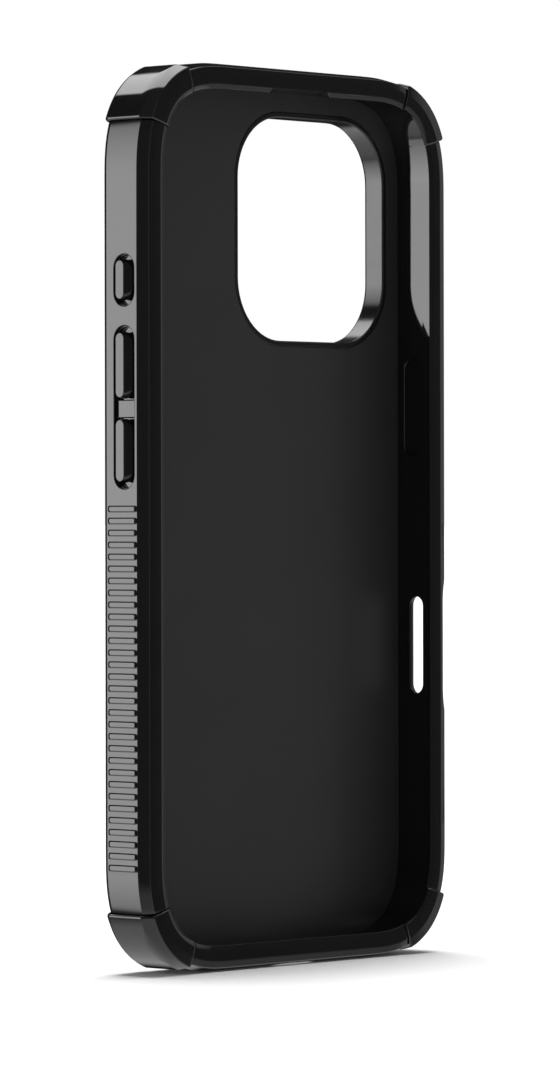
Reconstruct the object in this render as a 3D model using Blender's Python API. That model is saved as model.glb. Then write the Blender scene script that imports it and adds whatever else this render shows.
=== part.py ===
"""Rugged phone case, standing on its bottom edge.

A soft bumper frame holds a hard back plate. Four thicker corner cushions wrap its corners, a raised ring
guards the camera opening, and four buttons slide in the side walls to press the phone's own buttons.

Metres. +Z runs up the length of the case, +X is to the right seen from the open front, and -Y points
forwards. The origin is in the middle of the bottom face of the whole case's bounding box.

Most places are given from the phone that the case is made for: x and z from the phone's centre, and depth
backwards from its glass. An outset is a distance outwards from the phone's edge, square to it.
"""

import math

import bmesh
import bpy
from mathutils import Vector

MM = 0.001
SHARP_ANGLE = math.radians(28)  # edges that turn by more than this are shaded sharp

# The phone that the case fits.
PHONE_HALF_WIDTH = 35.75 * MM
PHONE_HALF_HEIGHT = 75.0 * MM
PHONE_THICKNESS = 8.25 * MM
CORNER_REACH = 17.0 * MM  # length of each side that the rounded corner takes up
CORNER_EXPONENT = 2.81  # superellipse: 2 would be a circular corner, and more is squarer
PHONE_MIDDLE_DEPTH = PHONE_THICKNESS / 2

# The frame's section.
GAP = 0.3 * MM  # left between pieces that touch
WALL = 3.7 * MM
CAVITY_OUTSET = 0.15 * MM
LIP_OVERLAP = 0.8 * MM
LIP_HEIGHT = 0.5 * MM
LIP_UNDERSIDE = -0.05 * MM
BACK_DEPTH = 10.25 * MM
FACET_DEPTH = 2.04 * MM  # where the flat side starts
CREASE_OUTSET = 3.08 * MM  # the crease between the side facet and the front of the lip
CREASE_DEPTH = -0.28 * MM
CREASE_ROUNDING = 0.08 * MM
CREASE_LEAD = 0.3 * MM
# The front of the lip, from its inner edge to near the crease: outset, depth, and the share of a cushion's
# extra height that is added there.
LIP_FRONT = (
    (-LIP_OVERLAP, -0.12 * MM, 0.0),
    (-0.62 * MM, -0.22 * MM, 0.5),
    (-0.35 * MM, -0.34 * MM, 1.0),
    (0.5 * MM, -0.46 * MM, 1.0),
    (1.4 * MM, -LIP_HEIGHT, 1.0),
    (2.3 * MM, -0.44 * MM, 1.0),
)
REAR_ROUNDING = 1.05 * MM
GROOVE_OUTSET = 1.6 * MM
GROOVE_FRONT = 8.1 * MM
GROOVE_BACK = 9.6 * MM
REAR_FLANGE_OUTSET = -1.2 * MM
CORNER_STEPS = 10

# The back plate.
PLATE_FRONT = PHONE_THICKNESS + CAVITY_OUTSET
PLATE_SEAT_OUTSET = CAVITY_OUTSET - GAP
PLATE_TONGUE_FRONT = PLATE_FRONT + 0.15 * MM
PLATE_TONGUE_BACK = GROOVE_BACK - GAP
PLATE_TONGUE_OUTSET = GROOVE_OUTSET - GAP
PLATE_FACE_OUTSET = REAR_FLANGE_OUTSET - GAP

# The corner cushions.
CUSHION_PROUD = 0.7 * MM
CUSHION_FRONT_PROUD = 0.35 * MM
CUSHION_END = 10.5 * MM  # from the start of the rounded corner to the cushion's end, at the outer face
CUSHION_END_TILT = math.radians(16)
SEAT_OUTSET = 2.7 * MM
SEAT_DEPTH = 0.9 * MM
SEAT_CHAMFER = 0.7 * MM
SEAT_LAND = 0.05 * MM  # how far the chamfer stops short of the rear face
CUSHION_STEPS = 9

# The camera opening and its surround.
CAMERA_X = 12.6 * MM
CAMERA_Z = 51.1 * MM
CAMERA_WIDTH = 38.6 * MM
CAMERA_HEIGHT = 39.6 * MM
CAMERA_CORNER = 11.0 * MM
SURROUND_BACK = 12.9 * MM
COLLAR = 1.0 * MM
SURROUND_FLANGE = 2.2 * MM
SURROUND_FLANGE_THICKNESS = 0.9 * MM

# The buttons and their pockets: z of each middle, and the length of each flat top.
POCKET_WIDTH = 4.67 * MM
POCKET_MIDDLE_DEPTH = 5.04 * MM
POCKET_FLOOR_OUTSET = WALL - 0.65 * MM
WELL_WIDTH = 4.4 * MM
WELL_FLOOR_OUTSET = WALL - 1.29 * MM
BUTTON_PROUD = 1.1 * MM
BUTTON_TOP_WIDTH = 1.64 * MM
BUTTON_BASE_WIDTH = 3.7 * MM
BUTTON_END_SLOPE = 0.2 * MM  # how far the base runs past each end of the top
BUTTON_TRAVEL_ROOM = 0.65 * MM
BUTTON_SKIRT = 0.35 * MM
STEM_WIDTH = 2.4 * MM
STEM_SHORTER = 0.8 * MM  # the stem's length is the cap's less this
FOOT_WIDTH = 3.8 * MM
FOOT_LONGER = 1.4 * MM  # the foot's length is the stem's plus this
FOOT_OUTER = 1.0 * MM
FOOT_INNER = 0.6 * MM
FOOT_RECESS_OUTSET = 1.35 * MM
LEFT, RIGHT = -1, 1
BUTTONS = {
    "action_button": (LEFT, 40.7 * MM, 6.6 * MM),
    "volume_up_button": (LEFT, 26.05 * MM, 11.05 * MM),
    "volume_down_button": (LEFT, 11.42 * MM, 10.55 * MM),
    "side_button": (RIGHT, 19.8 * MM, 16.6 * MM),
}
# The deeper well that each button sinks into: z of the middle, length, and which end is square.
SQUARE_END_CORNER = 0.6 * MM
WELLS = {
    "action_button": (40.65 * MM, 8.7 * MM, 0),
    "volume_up_button": (26.35 * MM, 12.7 * MM, -1),
    "volume_down_button": (11.08 * MM, 12.2 * MM, 1),
    "side_button": (19.8 * MM, 18.7 * MM, 0),
}
# Pockets: side, z of the middle, length. The two volume buttons share one, with a shallow land between them.
POCKETS = (
    (LEFT, 40.65 * MM, 8.9 * MM),
    (LEFT, 18.85 * MM, 28.0 * MM),
    (RIGHT, 19.8 * MM, 18.9 * MM),
)

# The grip ribs.
RIB_COUNT = 31
RIB_PITCH = 2.054 * MM
FIRST_RIB_Z = 1.44 * MM
RIB_LENGTH = 6.55 * MM
RIB_HEIGHT = 1.18 * MM
RIB_PROUD = 0.35 * MM
RIB_MIDDLE_DEPTH = 5.38 * MM

# The opening for the camera control on the right side.
SCOOP_Z = -22.7 * MM
SCOOP_LENGTH = 27.0 * MM
SCOOP_SLOPE = 5.5 * MM
SCOOP_DEPTH = 1.25 * MM
SCOOP_RIB_CLEARANCE = 1.5 * MM
CONTROL_SLOT_LENGTH = 17.6 * MM
CONTROL_SLOT_WIDTH = 3.4 * MM
CONTROL_FLARE_OUTSET = 1.0 * MM
CONTROL_FLARE_SLOPE = 0.6

# Openings in the bottom wall: x of the middle, length and width.
BOTTOM_OPENINGS = (
    (0.0, 12.8 * MM, 6.4 * MM),
    (-16.0 * MM, 11.0 * MM, 2.4 * MM),
    (16.0 * MM, 11.0 * MM, 2.4 * MM),
)

# The relief in the top lip, over the phone's earpiece. It narrows from the lip's inner edge.
RELIEF_WIDTH = 15.9 * MM
RELIEF_RISE = 0.75 * MM
RELIEF_TAPER = 0.6 * MM
RELIEF_LEAN = 0.15 * MM

# The case's own frame: the phone's centre, seen from the origin.
FRONT = -LIP_HEIGHT - CUSHION_FRONT_PROUD
MIDDLE_DEPTH = (FRONT + SURROUND_BACK) / 2
PHONE_CENTRE_Z = PHONE_HALF_HEIGHT + WALL


def at(x, depth, z):
    """The point in the case's frame, from places measured on the phone."""
    return Vector((x, depth - MIDDLE_DEPTH, z + PHONE_CENTRE_Z))


# Shapes


def mesh_object(name, bm, material):
    """Turns a bmesh into a smooth-shaded object whose faces point out."""
    bmesh.ops.recalc_face_normals(bm, faces=bm.faces)
    mesh = bpy.data.meshes.new(name)
    bm.to_mesh(mesh)
    bm.free()
    mesh.shade_smooth()
    mesh.set_sharp_from_angle(angle=SHARP_ANGLE)
    obj = bpy.data.objects.new(name, mesh)
    bpy.context.scene.collection.objects.link(obj)
    if material:
        mesh.materials.append(material)
    else:
        obj.display_type = "WIRE"
        obj.hide_render = True
    return obj


def add_loft(bm, sections, closed=False):
    """Joins loops of points, all with the same count, into one solid: a ring, or a bar with two caps."""
    loops = [[bm.verts.new(point) for point in section] for section in sections]
    pairs = list(zip(loops, loops[1:]))
    if closed:
        pairs.append((loops[-1], loops[0]))
    count = len(loops[0])
    for one, two in pairs:
        for i in range(count):
            j = (i + 1) % count
            bm.faces.new((one[i], one[j], two[j], two[i]))
    if not closed:
        bm.faces.new(loops[0][::-1])
        bm.faces.new(loops[-1])


def loft(name, sections, material=None, closed=False):
    bm = bmesh.new()
    add_loft(bm, sections, closed)
    return mesh_object(name, bm, material)


def boolean(obj, cutter, operation="DIFFERENCE"):
    modifier = obj.modifiers.new(f"{operation.lower()} {cutter.name}", "BOOLEAN")
    modifier.operation = operation
    modifier.solver = "EXACT"
    modifier.object = cutter


def stadium(length, width, steps=6, square_end=0):
    """A pill's outline as (along, across) points. A square end, at 1 or -1, is nearly flat."""
    points = []
    for end in (1, -1):
        radius = SQUARE_END_CORNER if end == square_end else width / 2
        for i in range(steps + 1):
            angle = math.pi * (i / steps - 0.5)
            aside = math.copysign(width / 2 - radius, i - steps / 2) if i != steps / 2 else 0.0
            along = length / 2 - radius + radius * math.cos(angle)
            points.append((end * along, end * (aside + radius * math.sin(angle))))
    return points


# The outline of the case


def corner_point(angle, outset):
    """A point on the top right corner, as (x, z). The outline's normal there leans up by the angle."""
    power = 1 / (CORNER_EXPONENT - 1)
    across = max(math.cos(angle), 0) ** power
    up = max(math.sin(angle), 0) ** power
    size = (across**CORNER_EXPONENT + up**CORNER_EXPONENT) ** (-1 / CORNER_EXPONENT)
    x = PHONE_HALF_WIDTH - CORNER_REACH * (1 - across * size) + outset * math.cos(angle)
    z = PHONE_HALF_HEIGHT - CORNER_REACH * (1 - up * size) + outset * math.sin(angle)
    return x, z


def outline(outset, steps=CORNER_STEPS):
    """The whole outline as (x, z) points, from the right side over the top and round."""
    points = []
    for side_x, side_z in ((1, 1), (-1, 1), (-1, -1), (1, -1)):
        corner = [corner_point(math.pi / 2 * i / steps, outset) for i in range(steps + 1)]
        if side_x != side_z:
            corner.reverse()
        points += [(side_x * x, side_z * z) for x, z in corner]
    return points


def ring(name, profile, material=None):
    """Sweeps a closed profile of (outset, depth) points round the whole outline."""
    loops = [[at(x, depth, z) for x, z in outline(outset)] for outset, depth in profile]
    return loft(name, [list(section) for section in zip(*loops)], material, closed=True)


def end_angle(outset, extra):
    """Where a line at this outset meets the plane that ends a cushion, moved by extra along the edge."""
    tilt = CUSHION_END_TILT
    start_x = PHONE_HALF_WIDTH + WALL
    start_z = PHONE_HALF_HEIGHT - CORNER_REACH + CUSHION_END
    low, high = 0.0, math.pi / 4
    for _ in range(40):
        middle = (low + high) / 2
        x, z = corner_point(middle, outset)
        height = (z - start_z) * math.cos(tilt) - (x - start_x) * math.sin(tilt) + extra
        low, high = (middle, high) if height < 0 else (low, middle)
    return low


def corner_sector(name, profile, side_x, side_z, extra, material=None):
    """Sweeps a profile round one corner, between the planes that end a cushion."""
    sections = []
    for i in range(CUSHION_STEPS + 1):
        section = []
        for outset, depth in profile:
            first = end_angle(outset, extra)
            angle = first + (math.pi / 2 - 2 * first) * i / CUSHION_STEPS
            x, z = corner_point(angle, outset)
            section.append(at(side_x * x, depth, side_z * z))
        sections.append(section)
    return loft(name, sections, material)


def outer_profile(proud, front_proud):
    """The outside of the section as (outset, depth) points, from the lip's inner edge to the rear face."""
    crease_outset = CREASE_OUTSET + proud
    crease_depth = CREASE_DEPTH - front_proud
    points = [(outset, depth - share * front_proud) for outset, depth, share in LIP_FRONT]
    points.append((crease_outset - CREASE_LEAD, crease_depth - CREASE_ROUNDING))
    points.append((crease_outset, crease_depth + CREASE_ROUNDING))
    points.append((WALL + proud, FACET_DEPTH))
    centre_outset = WALL + proud - REAR_ROUNDING
    centre_depth = BACK_DEPTH + front_proud - REAR_ROUNDING
    for i in range(4):
        angle = math.pi / 2 * i / 3
        outset = centre_outset + REAR_ROUNDING * math.cos(angle)
        points.append((outset, centre_depth + REAR_ROUNDING * math.sin(angle)))
    return points


# Openings and cuts


def side_prism(name, side, middle_depth, middle_z, levels, material=None, origin=None, square_end=0):
    """A pill-shaped bar through a side wall. Each level is (outset, length, width)."""
    origin = origin or Vector((0, 0, 0))
    sections = []
    for outset, length, width in levels:
        x = side * (PHONE_HALF_WIDTH + outset)
        pill = stadium(length, width, square_end=square_end)
        section = [at(x, middle_depth + across, middle_z + along) for along, across in pill]
        sections.append([point - origin for point in section])
    obj = loft(name, sections, material)
    obj.location = origin
    return obj


def cut_button_pocket(frame, index, side, middle_z, length):
    outside = WALL + 1.0 * MM
    levels = ((POCKET_FLOOR_OUTSET, length, POCKET_WIDTH), (outside, length, POCKET_WIDTH))
    cutter = side_prism(f"cut_pocket_{index}", side, POCKET_MIDDLE_DEPTH, middle_z, levels)
    boolean(frame, cutter)


def stem_length(top_length):
    return top_length - STEM_SHORTER


def cut_button_hole(frame, name, side, middle_z, top_length):
    """The well for a button's base, the hole for its stem, and the recess inside for its foot."""
    well_z, well_length, square_end = WELLS[name]
    well_levels = ((WELL_FLOOR_OUTSET, well_length, WELL_WIDTH), (WALL, well_length, WELL_WIDTH))
    stem = stem_length(top_length) + 2 * GAP
    foot = stem + FOOT_LONGER
    recess_levels = (
        (-1.0 * MM, foot, FOOT_WIDTH + 2 * GAP),
        (FOOT_RECESS_OUTSET, foot, FOOT_WIDTH + 2 * GAP),
    )
    hole_levels = (
        (0.5 * MM, stem, STEM_WIDTH + 2 * GAP),
        (WELL_FLOOR_OUTSET + 0.5 * MM, stem, STEM_WIDTH + 2 * GAP),
    )
    depth = POCKET_MIDDLE_DEPTH
    boolean(frame, side_prism(f"cut_well_{name}", side, depth, well_z, well_levels, square_end=square_end))
    boolean(frame, side_prism(f"cut_foot_{name}", side, depth, middle_z, recess_levels))
    boolean(frame, side_prism(f"cut_stem_{name}", side, depth, middle_z, hole_levels))


def cut_control_opening(frame):
    """A shallow scoop right across the side wall, and a flared slot through it."""
    floor = PHONE_HALF_WIDTH + WALL - SCOOP_DEPTH
    beyond = 1.0 * MM
    slope = SCOOP_SLOPE / SCOOP_DEPTH
    low_half = SCOOP_LENGTH / 2 - SCOOP_SLOPE
    high_half = low_half + slope * (SCOOP_DEPTH + beyond)
    x_high = PHONE_HALF_WIDTH + WALL + beyond
    front, back = -2.0 * MM, BACK_DEPTH + 1.0 * MM
    sections = []
    for depth in (front, back):
        corners = ((floor, -low_half), (floor, low_half), (x_high, high_half), (x_high, -high_half))
        sections.append([at(x, depth, SCOOP_Z + z) for x, z in corners])
    boolean(frame, loft("cut_scoop", sections))
    scoop_floor_outset = WALL - SCOOP_DEPTH
    rise = 2 * (scoop_floor_outset - CONTROL_FLARE_OUTSET)
    wider = 2 * rise * CONTROL_FLARE_SLOPE
    levels = (
        (-beyond, CONTROL_SLOT_LENGTH, CONTROL_SLOT_WIDTH),
        (CONTROL_FLARE_OUTSET, CONTROL_SLOT_LENGTH, CONTROL_SLOT_WIDTH),
        (CONTROL_FLARE_OUTSET + rise, CONTROL_SLOT_LENGTH + wider, CONTROL_SLOT_WIDTH + wider),
    )
    boolean(frame, side_prism("cut_control_slot", RIGHT, PHONE_MIDDLE_DEPTH, SCOOP_Z, levels))


def cut_bottom_openings(frame):
    for index, (x, length, width) in enumerate(BOTTOM_OPENINGS):
        sections = []
        for outset in (-1.5 * MM, WALL + 1.0 * MM):
            z = -PHONE_HALF_HEIGHT - outset
            pill = stadium(length, width)
            sections.append([at(x + along, PHONE_MIDDLE_DEPTH + across, z) for along, across in pill])
        boolean(frame, loft(f"cut_bottom_{index}", sections))


def cut_earpiece_relief(frame):
    """A notch in the inner edge of the top lip, over the phone's earpiece."""
    inner_z = PHONE_HALF_HEIGHT - LIP_OVERLAP
    inner_half = RELIEF_WIDTH / 2
    outer_half = inner_half - RELIEF_TAPER
    below = 0.5 * MM
    below_half = inner_half + below * RELIEF_TAPER / RELIEF_RISE
    front, back = -1.2 * MM, 0.0
    sections = []
    for depth, lean in ((front, RELIEF_LEAN), (back, 0.0)):
        low_z = inner_z - below
        high_z = inner_z + RELIEF_RISE + lean
        corners = ((-outer_half, high_z), (outer_half, high_z), (below_half, low_z), (-below_half, low_z))
        sections.append([at(x, depth, z) for x, z in corners])
    boolean(frame, loft("cut_relief", sections))


def rib_heights(side):
    """Where the ribs' middles lie. The right side leaves out those that the scoop would meet."""
    clear = SCOOP_LENGTH / 2 + SCOOP_RIB_CLEARANCE
    heights = [FIRST_RIB_Z - i * RIB_PITCH for i in range(RIB_COUNT)]
    return [z for z in heights if side == LEFT or abs(z - SCOOP_Z) > clear]


def add_ribs(frame):
    """Low pill-shaped ribs in a row down each side, joined to the wall."""
    for side, side_name in ((LEFT, "left"), (RIGHT, "right")):
        bm = bmesh.new()
        foot_x = PHONE_HALF_WIDTH + WALL - 0.5 * MM
        top_x = PHONE_HALF_WIDTH + WALL + RIB_PROUD
        for middle_z in rib_heights(side):
            sections = []
            for x in (foot_x, top_x):
                points = stadium(RIB_LENGTH, RIB_HEIGHT, steps=4)
                sections.append([at(side * x, RIB_MIDDLE_DEPTH + u, middle_z + v) for u, v in points])
            add_loft(bm, sections)
        boolean(frame, mesh_object(f"ribs_{side_name}", bm, None), "UNION")


# The pieces


def seat_profile():
    """What a cushion's seat takes away from the frame's section."""
    far = 3.0 * MM
    outside = WALL + far
    behind = BACK_DEPTH + far
    chamfer_outset = SEAT_OUTSET - SEAT_CHAMFER
    return (
        (-far, -far),
        (outside, -far),
        (outside, behind),
        (chamfer_outset, behind),
        (chamfer_outset, BACK_DEPTH - SEAT_LAND),
        (SEAT_OUTSET, BACK_DEPTH - SEAT_CHAMFER - SEAT_LAND),
        (SEAT_OUTSET, SEAT_DEPTH),
        (-far, SEAT_DEPTH),
    )


CORNERS = (("top_left", -1, 1), ("top_right", 1, 1), ("bottom_left", -1, -1), ("bottom_right", 1, -1))


def make_frame(material):
    """The soft moulding: walls, lip and a groove for the plate, with ribs, pockets and openings."""
    groove_side = [
        (REAR_FLANGE_OUTSET, BACK_DEPTH),
        (REAR_FLANGE_OUTSET, GROOVE_BACK),
        (GROOVE_OUTSET, GROOVE_BACK),
        (GROOVE_OUTSET, GROOVE_FRONT),
        (CAVITY_OUTSET, GROOVE_FRONT),
        (CAVITY_OUTSET, LIP_UNDERSIDE),
        (-LIP_OVERLAP, LIP_UNDERSIDE),
    ]
    frame = ring("bumper_frame", outer_profile(0, 0) + groove_side, material)
    for name, side_x, side_z in CORNERS:
        boolean(frame, corner_sector(f"cut_seat_{name}", seat_profile(), side_x, side_z, GAP))
    add_ribs(frame)
    for index, (side, middle_z, length) in enumerate(POCKETS):
        cut_button_pocket(frame, index, side, middle_z, length)
    for name, (side, middle_z, top_length) in BUTTONS.items():
        cut_button_hole(frame, name, side, middle_z, top_length)
    cut_control_opening(frame)
    cut_bottom_openings(frame)
    cut_earpiece_relief(frame)
    return frame


def make_cushions(material):
    """The four corner pieces, which lie over the frame's seats and form the lip there."""
    chamfer_outset = SEAT_OUTSET - SEAT_CHAMFER + GAP
    chamfer_depth = BACK_DEPTH - SEAT_LAND + GAP * (math.sqrt(2) - 1)
    inside = [
        (chamfer_outset, BACK_DEPTH + CUSHION_FRONT_PROUD),
        (chamfer_outset, chamfer_depth),
        (SEAT_OUTSET + GAP, chamfer_depth - SEAT_CHAMFER),
        (SEAT_OUTSET + GAP, SEAT_DEPTH - GAP),
        (CAVITY_OUTSET, SEAT_DEPTH - GAP),
        (CAVITY_OUTSET, LIP_UNDERSIDE),
        (-LIP_OVERLAP, LIP_UNDERSIDE),
    ]
    profile = outer_profile(CUSHION_PROUD, CUSHION_FRONT_PROUD) + inside
    for name, side_x, side_z in CORNERS:
        corner_sector(f"corner_cushion_{name}", profile, side_x, side_z, 0.0, material)


def rounded_rectangle(width, height, radius, steps=6):
    """A rounded rectangle's outline as (x, z) points about the camera opening's middle."""
    points = []
    for quarter in range(4):
        side_x, side_z = ((1, 1), (-1, 1), (-1, -1), (1, -1))[quarter]
        centre_x = side_x * (width / 2 - radius)
        centre_z = side_z * (height / 2 - radius)
        for i in range(steps + 1):
            angle = math.pi / 2 * (quarter + i / steps)
            x = CAMERA_X + centre_x + radius * math.cos(angle)
            points.append((x, CAMERA_Z + centre_z + radius * math.sin(angle)))
    return points


def camera_loop(depth, outset):
    """A loop round the camera opening, outset from its edge."""
    width = CAMERA_WIDTH + 2 * outset
    height = CAMERA_HEIGHT + 2 * outset
    return [at(x, depth, z) for x, z in rounded_rectangle(width, height, CAMERA_CORNER + outset)]


def make_back_plate(material):
    """A flat panel whose edge is a tongue that the frame's groove holds."""
    levels = (
        (PLATE_FRONT, PLATE_SEAT_OUTSET),
        (PLATE_TONGUE_FRONT, PLATE_SEAT_OUTSET),
        (PLATE_TONGUE_FRONT, PLATE_TONGUE_OUTSET),
        (PLATE_TONGUE_BACK, PLATE_TONGUE_OUTSET),
        (PLATE_TONGUE_BACK, PLATE_FACE_OUTSET),
        (BACK_DEPTH, PLATE_FACE_OUTSET),
    )
    sections = [[at(x, depth, z) for x, z in outline(outset)] for depth, outset in levels]
    plate = loft("back_plate", sections, material)
    beyond = 1.0 * MM
    hole = [camera_loop(depth, COLLAR + GAP) for depth in (PLATE_FRONT - beyond, BACK_DEPTH + beyond)]
    boolean(plate, loft("cut_camera", hole))


def make_camera_surround(material):
    """A collar through the back plate, with a flange that lies over the plate and a raised rim."""
    flange_front = BACK_DEPTH + GAP
    flange_back = flange_front + SURROUND_FLANGE_THICKNESS
    rim_chamfer = 0.3 * MM
    profile = (
        (0.0, PLATE_FRONT),
        (COLLAR, PLATE_FRONT),
        (COLLAR, flange_front),
        (SURROUND_FLANGE, flange_front),
        (SURROUND_FLANGE, flange_back - rim_chamfer),
        (COLLAR + 2 * rim_chamfer, SURROUND_BACK - rim_chamfer),
        (COLLAR + rim_chamfer, SURROUND_BACK),
        (rim_chamfer, SURROUND_BACK),
        (0.0, SURROUND_BACK - rim_chamfer),
    )
    loops = [camera_loop(depth, outset) for outset, depth in profile]
    loft("camera_surround", [list(section) for section in zip(*loops)], material, closed=True)


def make_button(name, side, middle_z, top_length, material):
    """A button cap with a stem through the wall and a foot inside. Its origin is on its sliding axis."""
    stem = stem_length(top_length)
    foot = stem + FOOT_LONGER
    base_outset = WELL_FLOOR_OUTSET + BUTTON_TRAVEL_ROOM
    base_length = top_length + 2 * BUTTON_END_SLOPE
    levels = (
        (FOOT_INNER, foot, FOOT_WIDTH),
        (FOOT_OUTER, foot, FOOT_WIDTH),
        (FOOT_OUTER, stem, STEM_WIDTH),
        (base_outset, stem, STEM_WIDTH),
        (base_outset, base_length, BUTTON_BASE_WIDTH),
        (base_outset + BUTTON_SKIRT, base_length, BUTTON_BASE_WIDTH),
        (WALL + BUTTON_PROUD, top_length, BUTTON_TOP_WIDTH),
    )
    origin = at(side * (PHONE_HALF_WIDTH + WALL), POCKET_MIDDLE_DEPTH, middle_z)
    side_prism(name, side, POCKET_MIDDLE_DEPTH, middle_z, levels, material, origin)


# Materials


def plastic(name, colour, roughness):
    material = bpy.data.materials.new(name)
    material.use_nodes = True
    shader = material.node_tree.nodes["Principled BSDF"]
    shader.inputs["Base Color"].default_value = (*colour, 1)
    shader.inputs["Roughness"].default_value = roughness
    shader.inputs["Metallic"].default_value = 0
    material.diffuse_color = (*colour, 1)
    return material


def clear_scene():
    for obj in list(bpy.data.objects):
        bpy.data.objects.remove(obj)


def main():
    clear_scene()
    make_frame(plastic("frame black", (0.012, 0.012, 0.013), 0.16))
    make_cushions(plastic("cushion black", (0.014, 0.014, 0.015), 0.18))
    make_back_plate(plastic("plate black", (0.02, 0.02, 0.022), 0.35))
    make_camera_surround(plastic("surround black", (0.016, 0.016, 0.017), 0.25))
    button_black = plastic("button black", (0.012, 0.012, 0.013), 0.14)
    for name, (side, middle_z, top_length) in BUTTONS.items():
        make_button(name, side, middle_z, top_length, button_black)
    bpy.context.view_layer.update()


main()
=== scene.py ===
"""The looks of the rugged phone case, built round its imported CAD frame.

Every CAD node is replaced by a finely modelled piece in the same place: the moulded frame with its
ribs, button pockets and openings, the four corner cushions, the back plate, the camera surround and the
button caps.

Places are given as in the CAD: x and z from the middle of the phone that the case fits, depth backwards from
its glass, and outset outwards from its edge. Metres throughout.
"""

import math

import bmesh
import bpy
from mathutils import Matrix, Vector


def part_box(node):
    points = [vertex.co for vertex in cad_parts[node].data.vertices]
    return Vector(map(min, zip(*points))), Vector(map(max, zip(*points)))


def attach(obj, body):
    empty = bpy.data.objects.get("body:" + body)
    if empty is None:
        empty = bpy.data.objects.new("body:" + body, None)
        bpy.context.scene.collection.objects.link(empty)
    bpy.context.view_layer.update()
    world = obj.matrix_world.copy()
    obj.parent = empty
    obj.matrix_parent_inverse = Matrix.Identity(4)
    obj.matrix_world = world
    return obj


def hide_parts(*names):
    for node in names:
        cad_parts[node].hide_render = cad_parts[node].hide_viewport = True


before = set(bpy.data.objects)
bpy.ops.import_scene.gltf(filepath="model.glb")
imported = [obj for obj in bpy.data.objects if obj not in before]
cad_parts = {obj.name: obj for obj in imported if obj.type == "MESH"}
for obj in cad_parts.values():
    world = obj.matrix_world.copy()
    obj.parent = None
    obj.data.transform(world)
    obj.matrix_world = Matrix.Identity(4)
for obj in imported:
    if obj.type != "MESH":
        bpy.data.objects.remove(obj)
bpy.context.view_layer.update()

MM = 0.001

# The phone and the frame's section.
PHONE_HALF_WIDTH = 35.75 * MM
PHONE_HALF_HEIGHT = 75.0 * MM
PHONE_MIDDLE_DEPTH = 4.125 * MM
CORNER_REACH = 17.0 * MM
CORNER_EXPONENT = 2.81
WALL = 3.7 * MM
CAVITY_OUTSET = 0.15 * MM
LIP_OVERLAP = 0.8 * MM
LIP_UNDERSIDE = -0.05 * MM
# Corners of the lip's face, as (outset, depth).
LIP_EDGE = (-0.74 * MM, -0.17 * MM)
LIP_CREST = (0.15 * MM, -0.45 * MM)
LIP_TOP = (1.7 * MM, -0.52 * MM)
BACK_DEPTH = 10.25 * MM
FACET_DEPTH = 2.04 * MM
CREASE_OUTSET = 3.08 * MM
CREASE_DEPTH = -0.28 * MM
CREASE_ROUNDING = 0.25 * MM
REAR_ROUNDING = 1.15 * MM
WELD_DISTANCE = 0.004 * MM
GROOVE_OUTSET = 1.6 * MM
GROOVE_FRONT = 8.33 * MM
GROOVE_BACK = 9.36 * MM
REAR_FLANGE_OUTSET = -1.3 * MM
PLATE_FRONT = 8.4 * MM
SEAM = 0.08 * MM

# The corner cushions and their seats.
CUSHION_GAP = 0.08 * MM
CUSHION_PROUD = 0.7 * MM
CUSHION_FRONT_PROUD = 0.35 * MM
CUSHION_END = 10.5 * MM
CUSHION_END_TILT = math.radians(16)
CUSHION_ROUNDING = 0.42 * MM
CUSHION_FRONT_SHARE = 0.6  # how far the front is rounded over at the ends, as a share of the side
CUSHION_REAR_GAP = 0.08 * MM
# Round the corner the crease fades into one broad curve, between these shares of a cushion's length.
CUSHION_CREASE_ROUNDING = 13.0 * MM
CREASE_FADE = (0.1, 0.36)
SEAT_OUTSET = 2.7 * MM
SEAT_DEPTH = 0.9 * MM
SEAT_CHAMFER = 0.7 * MM
SEAT_ROUNDING = 0.16 * MM
SEAT_REAR_STEP = 0.05 * MM

# The buttons and pockets.
POCKET_WIDTH = 4.67 * MM
POCKET_MIDDLE_DEPTH = 5.04 * MM
POCKET_FLOOR_OUTSET = WALL - 0.65 * MM
POCKET_FLOOR_ROUNDING = 0.06 * MM
POCKET_EDGE_ROUNDING = 0.2 * MM
WELL_WIDTH = 4.4 * MM
WELL_FLOOR_OUTSET = WALL - 1.29 * MM
WELL_FLOOR_ROUNDING = 0.2 * MM
WELL_EDGE_ROUNDING = 0.05 * MM
BUTTON_PROUD = 1.1 * MM
BUTTON_TOP_WIDTH = 1.9 * MM
BUTTON_BASE_WIDTH = 3.7 * MM
BUTTON_TRAVEL_ROOM = 0.65 * MM
BUTTON_END_SLOPE = 0.2 * MM
BUTTON_SKIRT = 0.35 * MM
STEM_WIDTH = 2.4 * MM
STEM_SHORTER = 0.8 * MM
FOOT_WIDTH = 3.8 * MM
FOOT_LONGER = 1.4 * MM
FOOT_OUTER = 1.0 * MM
FOOT_INNER = 0.6 * MM
FOOT_RECESS_OUTSET = 1.35 * MM
RUNNING_GAP = 0.3 * MM
HOLE_START = 0.5 * MM
FOOT_RECESS_START = -1.0 * MM
LEFT, RIGHT = -1, 1
# Body, side, z of the middle, and length along the top.
BUTTONS = {
    "action_button": ("action_cap", LEFT, 40.7 * MM, 6.6 * MM),
    "volume_up_button": ("volume_up_cap", LEFT, 26.05 * MM, 11.05 * MM),
    "volume_down_button": ("volume_down_cap", LEFT, 11.42 * MM, 10.55 * MM),
    "side_button": ("side_cap", RIGHT, 19.8 * MM, 16.6 * MM),
}
SQUARE_END_CORNER = 0.6 * MM
# Z of the middle, length, and which end is square: 1 the upper, -1 the lower, 0 none.
WELLS = {
    "action_button": (40.65 * MM, 8.7 * MM, 0),
    "volume_up_button": (26.35 * MM, 12.7 * MM, -1),
    "volume_down_button": (11.08 * MM, 12.2 * MM, 1),
    "side_button": (19.8 * MM, 18.7 * MM, 0),
}
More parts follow.
